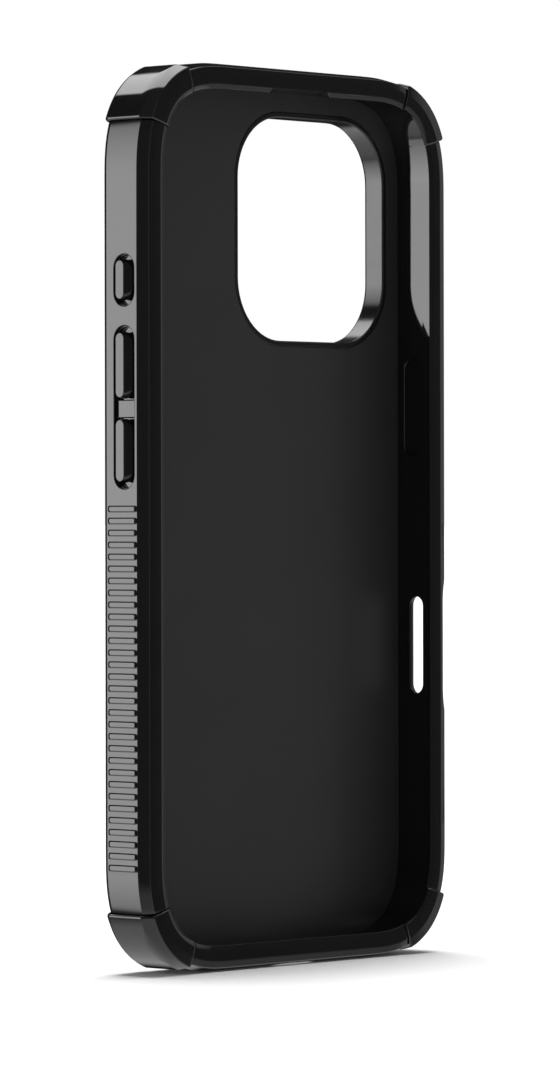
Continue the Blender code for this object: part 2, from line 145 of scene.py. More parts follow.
# Side, z of the middle, and length.
POCKETS = (
    (LEFT, 40.65 * MM, 8.9 * MM),
    (LEFT, 18.85 * MM, 28.0 * MM),
    (RIGHT, 19.8 * MM, 18.9 * MM),
)

# How the cutters for openings flare at the surface, and how far they run past it.
FLARE_END = math.radians(78)
CUT_OVERLAP = 0.5 * MM
WELL_OVERLAP = 0.02 * MM
SLOT_OVERLAP = 0.6 * MM
OPENING_START = -1.5 * MM

# The grip ribs.
RIB_COUNT = 31
RIB_PITCH = 2.054 * MM
FIRST_RIB_Z = 1.44 * MM
RIB_LENGTH = 6.9 * MM
RIB_HEIGHT = 1.18 * MM
RIB_PROUD = 0.14 * MM
RIB_CORNER = 0.4 * MM
RIB_SLOPE = 0.21 * MM
RIB_FRONT_SLOPE = 0.58 * MM
RIB_REAR_SLOPE = 0.42 * MM
RIB_ROUNDING = 0.04 * MM
RIB_MIDDLE_DEPTH = 5.49 * MM

# The finger scoop on the right side, and the camera control's slot in it.
SCOOP_Z = -23.2 * MM
SCOOP_LENGTH = 29.8 * MM
SCOOP_SLOPE = 5.5 * MM
SCOOP_DEPTH = 1.25 * MM
SCOOP_RIB_CLEARANCE = 1.5 * MM
CONTROL_SLOT_LENGTH = 17.6 * MM
CONTROL_SLOT_WIDTH = 3.4 * MM
CONTROL_SLOT_EDGE = 1.5 * MM
SCOOP_FLOOR_ROUNDING = 14.0 * MM

# Openings in the bottom wall: x of the middle, length, width and edge rounding.
BOTTOM_OPENINGS = (
    (0.0, 12.8 * MM, 6.4 * MM, 0.45 * MM),
    (-16.0 * MM, 11.0 * MM, 2.4 * MM, 0.3 * MM),
    (16.0 * MM, 11.0 * MM, 2.4 * MM, 0.3 * MM),
)
# The cut in the top lip.
RELIEF_WIDTH = 15.9 * MM
RELIEF_RISE = 0.75 * MM
RELIEF_TAPER = 0.6 * MM
RELIEF_LEAN = 0.15 * MM

# The camera opening and the surround in it.
CAMERA_X = 12.6 * MM
CAMERA_Z = 51.1 * MM
CAMERA_WIDTH = 38.6 * MM
CAMERA_HEIGHT = 39.6 * MM
CAMERA_CORNER = 11.0 * MM
SURROUND_BACK = 12.9 * MM
COLLAR = 1.0 * MM
SURROUND_FLANGE = 2.2 * MM
SURROUND_FLANGE_THICKNESS = 0.9 * MM

# Where the phone's middle and its glass lie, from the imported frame's own box.
FRAME_LOW, FRAME_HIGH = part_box("bumper_frame")
MIDDLE_Z = (FRAME_LOW[2] + FRAME_HIGH[2]) / 2
GLASS_Y = FRAME_HIGH[1] - BACK_DEPTH

CORNERS = (("top_left", -1, 1), ("top_right", 1, 1), ("bottom_left", -1, -1), ("bottom_right", 1, -1))


def at(x, depth, z):
    return Vector((x, depth + GLASS_Y, z + MIDDLE_Z))


# Materials

# The two shades that each plastic's colour drifts between.
FRAME_BLACKS = ((0.0035, 0.0035, 0.0036), (0.005, 0.005, 0.0051))
CUSHION_BLACKS = ((0.0035, 0.0035, 0.0036), (0.0055, 0.0055, 0.0056))
BUTTON_BLACKS = ((0.0035, 0.0035, 0.0036), (0.0045, 0.0045, 0.0046))
SURROUND_BLACKS = ((0.005, 0.005, 0.0052), (0.007, 0.007, 0.0072))
PLATE_GREYS = ((0.014, 0.014, 0.0145), (0.019, 0.019, 0.0195))
FLOOR_WHITES = ((0.90, 0.90, 0.90), (0.93, 0.93, 0.93))
BUMP_HEIGHT = 0.02 * MM


class Shader:
    """A node material under construction, with short ways to add and join nodes."""

    def __init__(self, name):
        self.material = bpy.data.materials.new(name)
        self.material.use_nodes = True
        self.nodes = self.material.node_tree.nodes
        self.links = self.material.node_tree.links
        self.main = self.nodes["Principled BSDF"]
        self.place = self.nodes.new("ShaderNodeTexCoord").outputs["Object"]

    def set(self, **values):
        for name, value in values.items():
            self.main.inputs[name.replace("_", " ")].default_value = value

    def join(self, output, node, socket):
        self.links.new(output, node.inputs[socket])

    def noise(self, scale, detail):
        node = self.nodes.new("ShaderNodeTexNoise")
        node.inputs["Scale"].default_value = scale
        node.inputs["Detail"].default_value = detail
        self.join(self.place, node, "Vector")
        return node.outputs["Fac"]

    def spread(self, value, low, high):
        """Maps a noise, which mostly stays between 0.3 and 0.7, to another range."""
        node = self.nodes.new("ShaderNodeMapRange")
        self.join(value, node, "Value")
        node.inputs["From Min"].default_value = 0.3
        node.inputs["From Max"].default_value = 0.7
        node.inputs["To Min"].default_value = low
        node.inputs["To Max"].default_value = high
        return node.outputs["Result"]

    def mix(self, factor, one, two):
        """A colour between two, by a factor from a node."""
        node = self.nodes.new("ShaderNodeMix")
        node.data_type = "RGBA"
        self.join(factor, node, "Factor")
        node.inputs["A"].default_value = (*one, 1)
        node.inputs["B"].default_value = (*two, 1)
        return node.outputs["Result"]

    def bump(self, height, strength):
        node = self.nodes.new("ShaderNodeBump")
        node.inputs["Strength"].default_value = strength
        node.inputs["Distance"].default_value = BUMP_HEIGHT
        self.join(height, node, "Height")
        return node.outputs["Normal"]


def glossy_plastic(name, dark, light, rough_low, rough_high, waviness):
    """Polished moulded plastic: nearly even gloss, with the faint waviness of a moulded surface."""
    shader = Shader(name)
    shader.set(Metallic=0.0, IOR=1.5)
    cloud = shader.noise(90.0, 4.0)
    shader.join(shader.mix(cloud, dark, light), shader.main, "Base Color")
    gloss = shader.spread(shader.noise(260.0, 4.0), rough_low, rough_high)
    shader.join(gloss, shader.main, "Roughness")
    shader.join(shader.bump(shader.noise(420.0, 2.0), waviness), shader.main, "Normal")
    return shader.material


def textured_plastic(name):
    """Hard satin plastic with a fine spark-eroded grain."""
    shader = Shader(name)
    shader.set(Metallic=0.0, IOR=1.5)
    cloud = shader.noise(60.0, 4.0)
    shader.join(shader.mix(cloud, *PLATE_GREYS), shader.main, "Base Color")
    grain = shader.noise(5200.0, 2.0)
    shader.join(shader.spread(grain, 0.34, 0.5), shader.main, "Roughness")
    shader.join(shader.bump(grain, 0.25), shader.main, "Normal")
    return shader.material


def make_materials():
    return {
        "frame": glossy_plastic("frame gloss", *FRAME_BLACKS, 0.05, 0.075, 0.04),
        "cushion": glossy_plastic("cushion gloss", *CUSHION_BLACKS, 0.05, 0.08, 0.04),
        "button": glossy_plastic("button gloss", *BUTTON_BLACKS, 0.045, 0.065, 0.03),
        "surround": glossy_plastic("surround gloss", *SURROUND_BLACKS, 0.16, 0.2, 0.05),
        "plate": textured_plastic("plate satin"),
    }


# Shapes


def rounded_path(corners):
    """A path of (a, b) points through corners of (a, b, radius, steps), each rounded by an arc."""
    points = []
    last = len(corners) - 1
    for index, (a, b, radius, steps) in enumerate(corners):
        here = Vector((a, b))
        if radius == 0 or index in (0, last):
            points.append((a, b))
            continue
        before = (Vector(corners[index - 1][:2]) - here).normalized()
        after = (Vector(corners[index + 1][:2]) - here).normalized()
        half = math.acos(max(-1.0, min(1.0, before.dot(after)))) / 2
        centre = here + (before + after).normalized() * (radius / math.sin(half))
        start = here + before * (radius / math.tan(half)) - centre
        end = here + after * (radius / math.tan(half)) - centre
        turn = start.angle_signed(end)
        for step in range(steps + 1):
            arm = start.copy()
            arm.rotate(Matrix.Rotation(-turn * step / steps, 2))
            points.append(tuple(centre + arm))
    return points


def skin(bm, loops, around=True, along=False):
    """Faces between successive loops of vertices."""
    pairs = list(zip(loops, loops[1:]))
    if along:
        pairs.append((loops[-1], loops[0]))
    count = len(loops[0])
    for one, two in pairs:
        for i in range(count if around else count - 1):
            j = (i + 1) % count
            bm.faces.new((one[i], one[j], two[j], two[i]))


def add_solid(bm, sections, ring=False):
    """A closed solid through sections of points, with flat ends unless it is a ring."""
    loops = [[bm.verts.new(point) for point in section] for section in sections]
    skin(bm, loops, along=ring)
    if not ring:
        bm.faces.new(loops[0][::-1])
        bm.faces.new(loops[-1])


def finished(name, bm, material=None, sharp=32.0):
    """The object of a bmesh, smooth but for its sharp edges. A cutter needs no material."""
    bmesh.ops.recalc_face_normals(bm, faces=bm.faces)
    mesh = bpy.data.meshes.new(name)
    bm.to_mesh(mesh)
    bm.free()
    mesh.shade_smooth()
    mesh.set_sharp_from_angle(angle=math.radians(sharp))
    obj = bpy.data.objects.new(name, mesh)
    bpy.context.scene.collection.objects.link(obj)
    if material:
        mesh.materials.append(material)
    return obj


def cut(obj, tool, operation="DIFFERENCE"):
    """Applies one Boolean and throws the tool away."""
    modifier = obj.modifiers.new("cut", "BOOLEAN")
    modifier.operation = operation
    modifier.solver = "EXACT"
    modifier.object = tool
    bpy.context.view_layer.update()
    graph = bpy.context.evaluated_depsgraph_get()
    mesh = bpy.data.meshes.new_from_object(obj.evaluated_get(graph))
    old = obj.data
    obj.modifiers.clear()
    obj.data = mesh
    bpy.data.meshes.remove(old)
    bpy.data.objects.remove(tool)


def even_shading(obj):
    """Lets large flat faces keep straight normals where they meet small roundings."""
    modifier = obj.modifiers.new("even shading", "WEIGHTED_NORMAL")
    modifier.mode = "FACE_AREA"
    modifier.weight = 50
    modifier.keep_sharp = True


def stadium(length, width, steps=12, square_end=0):
    """A pill's outline as (along, across) points. A square end, at 1 or -1, is nearly flat."""
    points = []
    for end in (1, -1):
        radius = SQUARE_END_CORNER if end == square_end else width / 2
        for i in range(steps + 1):
            angle = math.pi * (i / steps - 0.5)
            aside = math.copysign(width / 2 - radius, i - steps / 2) if i != steps / 2 else 0.0
            along = length / 2 - radius + radius * math.cos(angle)
            points.append((end * along, end * (aside + radius * math.sin(angle))))
    return points


# The outline of the case


def corner_point(angle, outset):
    """A point on the top right corner, as (x, z). The outline's normal there leans up by the angle."""
    power = 1 / (CORNER_EXPONENT - 1)
    across = max(math.cos(angle), 0) ** power
    up = max(math.sin(angle), 0) ** power
    size = (across**CORNER_EXPONENT + up**CORNER_EXPONENT) ** (-1 / CORNER_EXPONENT)
    x = PHONE_HALF_WIDTH - CORNER_REACH * (1 - across * size) + outset * math.cos(angle)
    z = PHONE_HALF_HEIGHT - CORNER_REACH * (1 - up * size) + outset * math.sin(angle)
    return x, z


def end_angle(outset, extra):
    """Where a line at this outset meets the plane that ends a cushion, moved by extra along the edge."""
    tilt = CUSHION_END_TILT
    start_x = PHONE_HALF_WIDTH + WALL
    start_z = PHONE_HALF_HEIGHT - CORNER_REACH + CUSHION_END
    low, high = 0.0, math.pi / 4
    for _ in range(40):
        middle = (low + high) / 2
        x, z = corner_point(middle, outset)
        height = (z - start_z) * math.cos(tilt) - (x - start_x) * math.sin(tilt) + extra
        low, high = (middle, high) if height < 0 else (low, middle)
    return low


def quarter_section(profile, angle_of):
    """A profile of (outset, depth) points stood on the top right corner."""
    section = []
    for outset, depth in profile:
        x, z = corner_point(angle_of(outset), outset)
        section.append(at(x, depth, z))
    return section


def mirrored_angles(function):
    return lambda outset: math.pi / 2 - function(outset)


def whole_outline(outset, steps=28):
    """The whole outline as (x, z) points, from the right side over the top and round."""
    points = []
    for side_x, side_z in ((1, 1), (-1, 1), (-1, -1), (1, -1)):
        corner = [corner_point(math.pi / 2 * i / steps, outset) for i in range(steps + 1)]
        if side_x != side_z:
            corner.reverse()
        points += [(side_x * x, side_z * z) for x, z in corner]
    return points


def outer_profile(side, front, rear, crease_rounding=CREASE_ROUNDING):
    """The outside of the section, from the lip's inner edge to the rear face, raised by these amounts."""
    return rounded_path((
        (-LIP_OVERLAP, LIP_UNDERSIDE, 0, 0),
        (-LIP_OVERLAP + 0.02 * MM, LIP_UNDERSIDE - 0.06 * MM, 0.05 * MM, 3),
        (LIP_EDGE[0], LIP_EDGE[1] - front, 0.05 * MM, 2),
        (LIP_CREST[0], LIP_CREST[1] - front, 1.7 * MM, 8),
        (LIP_TOP[0], LIP_TOP[1] - front, 3.0 * MM, 5),
        (CREASE_OUTSET + side, CREASE_DEPTH - front, 0.26 * MM, 7),
        (WALL + side, FACET_DEPTH, crease_rounding, 10),
        (WALL + side, BACK_DEPTH + rear, REAR_ROUNDING, 10),
        (SEAT_OUTSET - SEAT_CHAMFER, BACK_DEPTH + rear, 0, 0),
    ))


# The moulded frame


def common_profile():
    """The part of the frame's section that is the same under the cushions, ending at the cavity wall."""
    return rounded_path((
        (SEAT_OUTSET - SEAT_CHAMFER, BACK_DEPTH, 0, 0),
        (REAR_FLANGE_OUTSET, BACK_DEPTH, 0.14 * MM, 4),
        (REAR_FLANGE_OUTSET, GROOVE_BACK, 0, 0),
        (GROOVE_OUTSET, GROOVE_BACK, 0, 0),
        (GROOVE_OUTSET, GROOVE_FRONT, 0, 0),
        (CAVITY_OUTSET, GROOVE_FRONT, 0.1 * MM, 4),
        (CAVITY_OUTSET, SEAT_DEPTH, 0, 0),
    ))[1:-1]


def seat_profile():
    """The frame's outside where a cushion covers it, from the cavity wall to the rear face."""
    rear = BACK_DEPTH - SEAT_REAR_STEP
    return [
        (CAVITY_OUTSET, SEAT_DEPTH),
        (SEAT_OUTSET, SEAT_DEPTH),
        (SEAT_OUTSET, rear - SEAT_CHAMFER),
        (SEAT_OUTSET - SEAT_CHAMFER, rear),
        (SEAT_OUTSET - SEAT_CHAMFER, BACK_DEPTH),
    ]


def open_profile(drop=0.0):
    """The frame's outside where it shows, from the cavity wall over the lip to the rear face."""
    lead_in = [(CAVITY_OUTSET, SEAT_DEPTH), (CAVITY_OUTSET, LIP_UNDERSIDE)]
    return lead_in + outer_profile(-drop, -drop, 0.0)


def frame_quarter(bm):
    """The top right quarter of the frame: half of its side, its corner and half of its top."""
    common = common_profile()
    seat_start = CUSHION_GAP + SEAT_ROUNDING
    showing = []
    steps = 12
    for step in range(steps + 1):
        showing.append((0.0, lambda outset, share=step / steps: share * end_angle(outset, seat_start)))
    edge_steps = 4
    for step in range(1, edge_steps + 1):
        turn = math.pi / 2 * step / edge_steps
        extra = CUSHION_GAP + SEAT_ROUNDING * (1 - math.sin(turn))
        drop = SEAT_ROUNDING * (1 - math.cos(turn))
        showing.append((drop, lambda outset, extra=extra: end_angle(outset, extra)))
    for top in (False, True):
        profile = open_profile() + common
        if top:
            middle = [at(0, depth, PHONE_HALF_HEIGHT + outset) for outset, depth in profile]
        else:
            middle = [at(PHONE_HALF_WIDTH + outset, depth, 0) for outset, depth in profile]
        loops = [[bm.verts.new(point) for point in middle]]
        for drop, angle_of in showing:
            angles = mirrored_angles(angle_of) if top else angle_of
            section = quarter_section(open_profile(drop) + common, angles)
            loops.append([bm.verts.new(point) for point in section])
        skin(bm, loops)
        last = len(open_profile())
        angle_of = showing[-1][1]
        angles = mirrored_angles(angle_of) if top else angle_of
        step_wall = quarter_section(seat_profile(), angles)
        inner = [bm.verts.new(point) for point in step_wall[1:-1]]
        bm.faces.new(loops[-1][:last] + inner[::-1])
    covered = []
    seat_steps = 24
    for step in range(seat_steps + 1):
        def angle_of(outset, share=step / seat_steps):
            first = end_angle(outset, CUSHION_GAP)
            return first + (math.pi / 2 - 2 * first) * share
        section = quarter_section(seat_profile() + common, angle_of)
        covered.append([bm.verts.new(point) for point in section])
    skin(bm, covered)


def frame_ring(material):
    """The whole frame before its openings: the quarter and its three mirror images, welded."""
    bm = bmesh.new()
    frame_quarter(bm)
    pivot = at(0, 0, 0)
    for scale in ((-1, 1, 1), (1, 1, -1)):
        copied = bmesh.ops.duplicate(bm, geom=bm.verts[:] + bm.edges[:] + bm.faces[:])["geom"]
        points = [item for item in copied if isinstance(item, bmesh.types.BMVert)]
        for point in points:
            point.co = Vector(a * b for a, b in zip(point.co - pivot, scale)) + pivot
    bmesh.ops.remove_doubles(bm, verts=bm.verts, dist=WELD_DISTANCE)
    return finished("frame_moulding", bm, material)


def wall_tool(name, pieces):
    """Pill-shaped bars through the side walls, for cutters and for button caps.

    A piece is (side, depth, z, levels, square end), and a level is (outset, length, width).
    """
    bm = bmesh.new()
    for side, middle_depth, middle_z, levels, square_end in pieces:
        sections = []
        for outset, length, width in levels:
            x = side * (PHONE_HALF_WIDTH + outset)
            pill = stadium(length, width, square_end=square_end)
            sections.append([at(x, middle_depth + across, middle_z + along) for along, across in pill])
        add_solid(bm, sections)
    return finished(name, bm)


def flared_levels(bottom, top, length, width, floor_rounding, edge_rounding):
    """Levels of a cutter with a rounded floor, whose sides curve outwards to round the opening's edge."""
    levels = []
    floor_steps, edge_steps = 4, 6
    for step in range(floor_steps + 1 if floor_rounding else 1):
        turn = math.pi / 2 * (step / floor_steps if floor_rounding else 1)
        inset = floor_rounding * (1 - math.sin(turn))
        levels.append((bottom + floor_rounding * (1 - math.cos(turn)), length - 2 * inset, width - 2 * inset))
    for step in range(edge_steps + 1):
        turn = FLARE_END * step / edge_steps
        spread = edge_rounding * (1 - math.cos(turn))
        levels.append((top - edge_rounding * (1 - math.sin(turn)), length + 2 * spread, width + 2 * spread))
    return levels


def with_collar(levels, rise):
    """Carries the last level straight on, past the surface."""
    outset, length, width = levels[-1]
    spread = rise * math.tan(FLARE_END)
    return levels + [(outset + rise, length + 2 * spread, width + 2 * spread)]


def rib_heights(side):
    clear = SCOOP_LENGTH / 2 + SCOOP_RIB_CLEARANCE
    heights = [FIRST_RIB_Z - i * RIB_PITCH for i in range(RIB_COUNT)]
    return [z for z in heights if side == LEFT or abs(z - SCOOP_Z) > clear]


def rounded_rectangle(length, width, radius, steps=5):
    """The outline of a rectangle with rounded corners, as (along, across) points."""
    points = []
    for quarter, (side_u, side_v) in enumerate(((1, 1), (-1, 1), (-1, -1), (1, -1))):
        for i in range(steps + 1):
            angle = math.pi / 2 * (quarter + i / steps)
            u = side_u * (length / 2 - radius) + radius * math.cos(angle)
            points.append((u, side_v * (width / 2 - radius) + radius * math.sin(angle)))
    return points


def rib_tool():
    """The rows of grip ribs: low bars with sloping sides and longer slopes at both ends."""
    path = rounded_path((
        (-0.4 * MM, -0.06 * MM, 0, 0),
        (0.0, 0.0, 0, 0),
        (RIB_PROUD, RIB_SLOPE, RIB_ROUNDING, 4),
        (RIB_PROUD, RIB_SLOPE + 0.12 * MM, 0, 0),
    ))
    bm = bmesh.new()
    for side in (LEFT, RIGHT):
        for middle_z in rib_heights(side):
            sections = []
            for rise, inset in path:
                x = side * (PHONE_HALF_WIDTH + WALL + rise)
                front = inset * RIB_FRONT_SLOPE / RIB_SLOPE
                rear = inset * RIB_REAR_SLOPE / RIB_SLOPE
                length = RIB_LENGTH - rear - front
                corner = RIB_CORNER - 0.5 * inset
                middle_depth = RIB_MIDDLE_DEPTH + (front - rear) / 2
                points = rounded_rectangle(length, RIB_HEIGHT - 2 * inset, corner)
                sections.append([at(x, middle_depth + u, middle_z + v) for u, v in points])
            add_solid(bm, sections)
    return finished("rib_tool", bm)


def scoop_tool():
    """The shallow hollow right across the right wall, with soft slopes at its ends."""
    bm = bmesh.new()
    floor_x = PHONE_HALF_WIDTH + WALL - SCOOP_DEPTH
    half = SCOOP_LENGTH / 2
    beyond = 1.2 * MM
    line = rounded_path((
        (floor_x, 0.0, 0, 0),
        (floor_x, half - SCOOP_SLOPE, SCOOP_FLOOR_ROUNDING, 12),
        (floor_x + SCOOP_DEPTH, half, 0, 0),
        (floor_x + SCOOP_DEPTH + beyond, half + beyond * SCOOP_SLOPE / SCOOP_DEPTH, 0, 0),
    ))[1:]
    path = [(x, -z) for x, z in reversed(line)] + line
    depths = (-3.0 * MM, BACK_DEPTH + 2.0 * MM)
    sections = [[at(x, depth, SCOOP_Z + z) for x, z in path] for depth in depths]
    add_solid(bm, sections)
    return finished("scoop_tool", bm)


def bottom_tool():
    """The charging port's opening and the two slots beside it, with rounded outer edges."""
    bm = bmesh.new()
    for middle_x, length, width, edge in BOTTOM_OPENINGS:
        levels = with_collar(flared_levels(OPENING_START, WALL, length, width, 0.0, edge), CUT_OVERLAP)
        sections = []
        for outset, wide, high in levels:
            z = -PHONE_HALF_HEIGHT - outset
            outline = stadium(wide, high)
            sections.append([at(middle_x + u, PHONE_MIDDLE_DEPTH + v, z) for u, v in outline])
        add_solid(bm, sections)
    return finished("bottom_tool", bm)


def relief_tool():
    """The cut in the top lip, over the phone's earpiece."""
    inner_z = PHONE_HALF_HEIGHT - LIP_OVERLAP
    below = 0.5 * MM
    top_half = RELIEF_WIDTH / 2 - RELIEF_TAPER
    low_half = RELIEF_WIDTH / 2 + below * RELIEF_TAPER / RELIEF_RISE
    low_z = inner_z - below
    bm = bmesh.new()
    sections = []
    for depth, lean in ((-1.6 * MM, RELIEF_LEAN), (0.0, 0.0)):
        high_z = inner_z + RELIEF_RISE + lean
        corners = ((-top_half, high_z), (top_half, high_z), (low_half, low_z), (-low_half, low_z))
        sections.append([at(x, depth, z) for x, z in corners])
    add_solid(bm, sections)
    return finished("relief_tool", bm)


def stem_length(top_length):
    return top_length - STEM_SHORTER


def make_frame(material):
    body = frame_ring(material)
    cut(body, rib_tool(), "UNION")
    pockets = []
    for side, middle_z, length in POCKETS:
        roundings = (POCKET_FLOOR_ROUNDING, POCKET_EDGE_ROUNDING)
        levels = flared_levels(POCKET_FLOOR_OUTSET, WALL, length, POCKET_WIDTH, *roundings)
        pockets.append((side, POCKET_MIDDLE_DEPTH, middle_z, with_collar(levels, CUT_OVERLAP), 0))
    cut(body, wall_tool("pocket_tool", pockets))
    wells = []
    for name, (middle_z, length, square_end) in WELLS.items():
        roundings = (WELL_FLOOR_ROUNDING, WELL_EDGE_ROUNDING)
        levels = flared_levels(WELL_FLOOR_OUTSET, POCKET_FLOOR_OUTSET, length, WELL_WIDTH, *roundings)
        levels = with_collar(levels, WELL_OVERLAP)
        wells.append((BUTTONS[name][1], POCKET_MIDDLE_DEPTH, middle_z, levels, square_end))
    cut(body, wall_tool("well_tool", wells))
    cut(body, scoop_tool())
    cut(body, bottom_tool())
    cut(body, relief_tool())
    slot_size = (CONTROL_SLOT_LENGTH, CONTROL_SLOT_WIDTH)
    slot = flared_levels(OPENING_START, WALL - SCOOP_DEPTH, *slot_size, 0.0, CONTROL_SLOT_EDGE)
    holes = [(RIGHT, PHONE_MIDDLE_DEPTH, SCOOP_Z, with_collar(slot, SLOT_OVERLAP), 0)]
    recesses = []
    for _, side, middle_z, top_length in BUTTONS.values():
        stem = stem_length(top_length) + 2 * RUNNING_GAP
        foot = stem + FOOT_LONGER
        stem_width = STEM_WIDTH + 2 * RUNNING_GAP
        foot_width = FOOT_WIDTH + 2 * RUNNING_GAP
        hole_end = WELL_FLOOR_OUTSET + CUT_OVERLAP
        stem_levels = ((HOLE_START, stem, stem_width), (hole_end, stem, stem_width))
        holes.append((side, POCKET_MIDDLE_DEPTH, middle_z, stem_levels, 0))
        foot_levels = ((FOOT_RECESS_START, foot, foot_width), (FOOT_RECESS_OUTSET, foot, foot_width))
        recesses.append((side, POCKET_MIDDLE_DEPTH, middle_z, foot_levels, 0))
    cut(body, wall_tool("hole_tool", holes))
    cut(body, wall_tool("recess_tool", recesses))
    return body


# The other pieces


def make_cushion(name, side_x, side_z, material):
    """One corner cushion: a curved shell whose ends are rounded over towards the frame."""
    inner_outset = SEAT_OUTSET + CUSHION_GAP
    rear_outset = SEAT_OUTSET - SEAT_CHAMFER + CUSHION_GAP

    def section(extra, drop, share):
        side = CUSHION_PROUD - drop
        face = CUSHION_FRONT_PROUD - CUSHION_FRONT_SHARE * drop
        fade_start, fade_end = CREASE_FADE
        fade = (min(share, 1 - share) - fade_start) / (fade_end - fade_start)
        fade = min(max(fade, 0.0), 1.0)
        fade = fade * fade * (3 - 2 * fade)
        rounding = CREASE_ROUNDING + (CUSHION_CREASE_ROUNDING - CREASE_ROUNDING) * fade
        outside = outer_profile(side, face, face, rounding)[:-1]
        inside = [
            (rear_outset, BACK_DEPTH + face),
            (rear_outset, BACK_DEPTH + CUSHION_REAR_GAP),
            (inner_outset, BACK_DEPTH - SEAT_CHAMFER + CUSHION_REAR_GAP),
            (inner_outset, SEAT_DEPTH - CUSHION_GAP),
            (CAVITY_OUTSET, SEAT_DEPTH - CUSHION_GAP),
            (CAVITY_OUTSET, LIP_UNDERSIDE),
        ]
        points = []
        for outset, depth in outside + inside:
            first = end_angle(outset, extra)
            angle = first + (math.pi / 2 - 2 * first) * share
            x, z = corner_point(angle, outset)
            points.append(at(side_x * x, depth, side_z * z))
        return points

    ends = []
    end_steps = 6
    for step in range(end_steps + 1):
        turn = math.pi / 2 * step / end_steps
        ends.append((-CUSHION_ROUNDING * (1 - math.cos(turn)), CUSHION_ROUNDING * (1 - math.sin(turn))))
    sections = [section(extra, drop, 0.0) for extra, drop in ends]
    middle_steps = 36
    sections += [section(ends[-1][0], 0.0, step / middle_steps) for step in range(1, middle_steps)]
    sections += [section(extra, drop, 1.0) for extra, drop in reversed(ends)]
    bm = bmesh.new()
    add_solid(bm, sections)
    return finished(f"cushion_moulding_{name}", bm, material)


def camera_loop(depth, outset):
    """A loop round the camera opening, outset from its edge."""
    size = (CAMERA_WIDTH + 2 * outset, CAMERA_HEIGHT + 2 * outset)
    outline = rounded_rectangle(*size, CAMERA_CORNER + outset, steps=16)
    return [at(CAMERA_X + u, depth, CAMERA_Z + v) for u, v in outline]


def make_back_plate(material):
    tongue_back = GROOVE_BACK - SEAM / 2
    path = rounded_path((
        (GROOVE_OUTSET - SEAM - 1.0 * MM, PLATE_FRONT, 0, 0),
        (GROOVE_OUTSET - SEAM, PLATE_FRONT, 0.1 * MM, 3),
        (GROOVE_OUTSET - SEAM, tongue_back, 0, 0),
        (REAR_FLANGE_OUTSET - SEAM, tongue_back, 0, 0),
        (REAR_FLANGE_OUTSET - SEAM, BACK_DEPTH, 0.16 * MM, 5),
        (REAR_FLANGE_OUTSET - SEAM - 1.0 * MM, BACK_DEPTH, 0, 0),
    ))
    bm = bmesh.new()
    add_solid(bm, [[at(x, depth, z) for x, z in whole_outline(outset)] for outset, depth in path])
    plate = finished("back_plate_panel", bm, material)
    bm = bmesh.new()
    beyond = 1.0 * MM
    depths = (PLATE_FRONT - beyond, BACK_DEPTH + beyond)
    add_solid(bm, [camera_loop(depth, COLLAR + SEAM) for depth in depths])
    cut(plate, finished("camera_tool", bm))
    return plate


def make_camera_surround(material):
    """A collar through the plate, a flange lying on it and a raised rim with rounded edges."""
    flange_front = BACK_DEPTH + SEAM
    flange_back = flange_front + SURROUND_FLANGE_THICKNESS
    path = rounded_path((
        (0.0, (PLATE_FRONT + SURROUND_BACK) / 2, 0, 0),
        (0.0, PLATE_FRONT, 0.3 * MM, 5),
        (COLLAR, PLATE_FRONT, 0.12 * MM, 3),
        (COLLAR, flange_front, 0, 0),
        (SURROUND_FLANGE, flange_front, 0.08 * MM, 3),
        (SURROUND_FLANGE, flange_back - 0.25 * MM, 0.25 * MM, 5),
        (COLLAR + 0.75 * MM, flange_back + 0.15 * MM, 0.3 * MM, 5),
        (COLLAR + 0.5 * MM, SURROUND_BACK, 0.32 * MM, 6),
        (0.25 * MM, SURROUND_BACK, 0.25 * MM, 5),
        (0.0, SURROUND_BACK - 0.5 * MM, 0.3 * MM, 4),
        (0.0, (PLATE_FRONT + SURROUND_BACK) / 2, 0, 0),
    ))[:-1]
    loops = [camera_loop(depth, outset) for outset, depth in path]
    bm = bmesh.new()
    add_solid(bm, loops, ring=True)
    return finished("camera_surround_rim", bm, material)


def make_button(name, side, middle_z, top_length, material):
    """A button cap: sloping sides up to a narrow flat top, and a stem and foot through the wall."""
    stem = stem_length(top_length)
    foot = stem + FOOT_LONGER
    base_outset = WELL_FLOOR_OUTSET + BUTTON_TRAVEL_ROOM
    shoulder = (BUTTON_BASE_WIDTH - BUTTON_TOP_WIDTH) / 2
    path = rounded_path((
        (0.1 * MM, base_outset, 0, 0),
        (0.0, base_outset + 0.06 * MM, 0.05 * MM, 2),
        (0.0, base_outset + BUTTON_SKIRT, 0.2 * MM, 4),
        (shoulder, WALL + BUTTON_PROUD, 0.16 * MM, 5),
        (shoulder + 0.55 * MM, WALL + BUTTON_PROUD, 0, 0),
    ))
    sections = [
        (FOOT_INNER, foot, FOOT_WIDTH),
        (FOOT_OUTER, foot, FOOT_WIDTH),
        (FOOT_OUTER, stem, STEM_WIDTH),
        (base_outset, stem, STEM_WIDTH),
    ]
    for inset, outset in path:
        end_inset = BUTTON_END_SLOPE * (min(inset / shoulder, 1.0) - 1.0) + max(inset - shoulder, 0.0)
        sections.append((outset, top_length - 2 * end_inset, BUTTON_BASE_WIDTH - 2 * inset))
    tool = [(side, POCKET_MIDDLE_DEPTH, middle_z, sections, 0)]
    cap = wall_tool(f"{name}_cap", tool)
    cap.data.materials.append(material)
    return cap


def set_piece(piece, body, node):
    even_shading(piece)
    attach(piece, body)
    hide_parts(node)


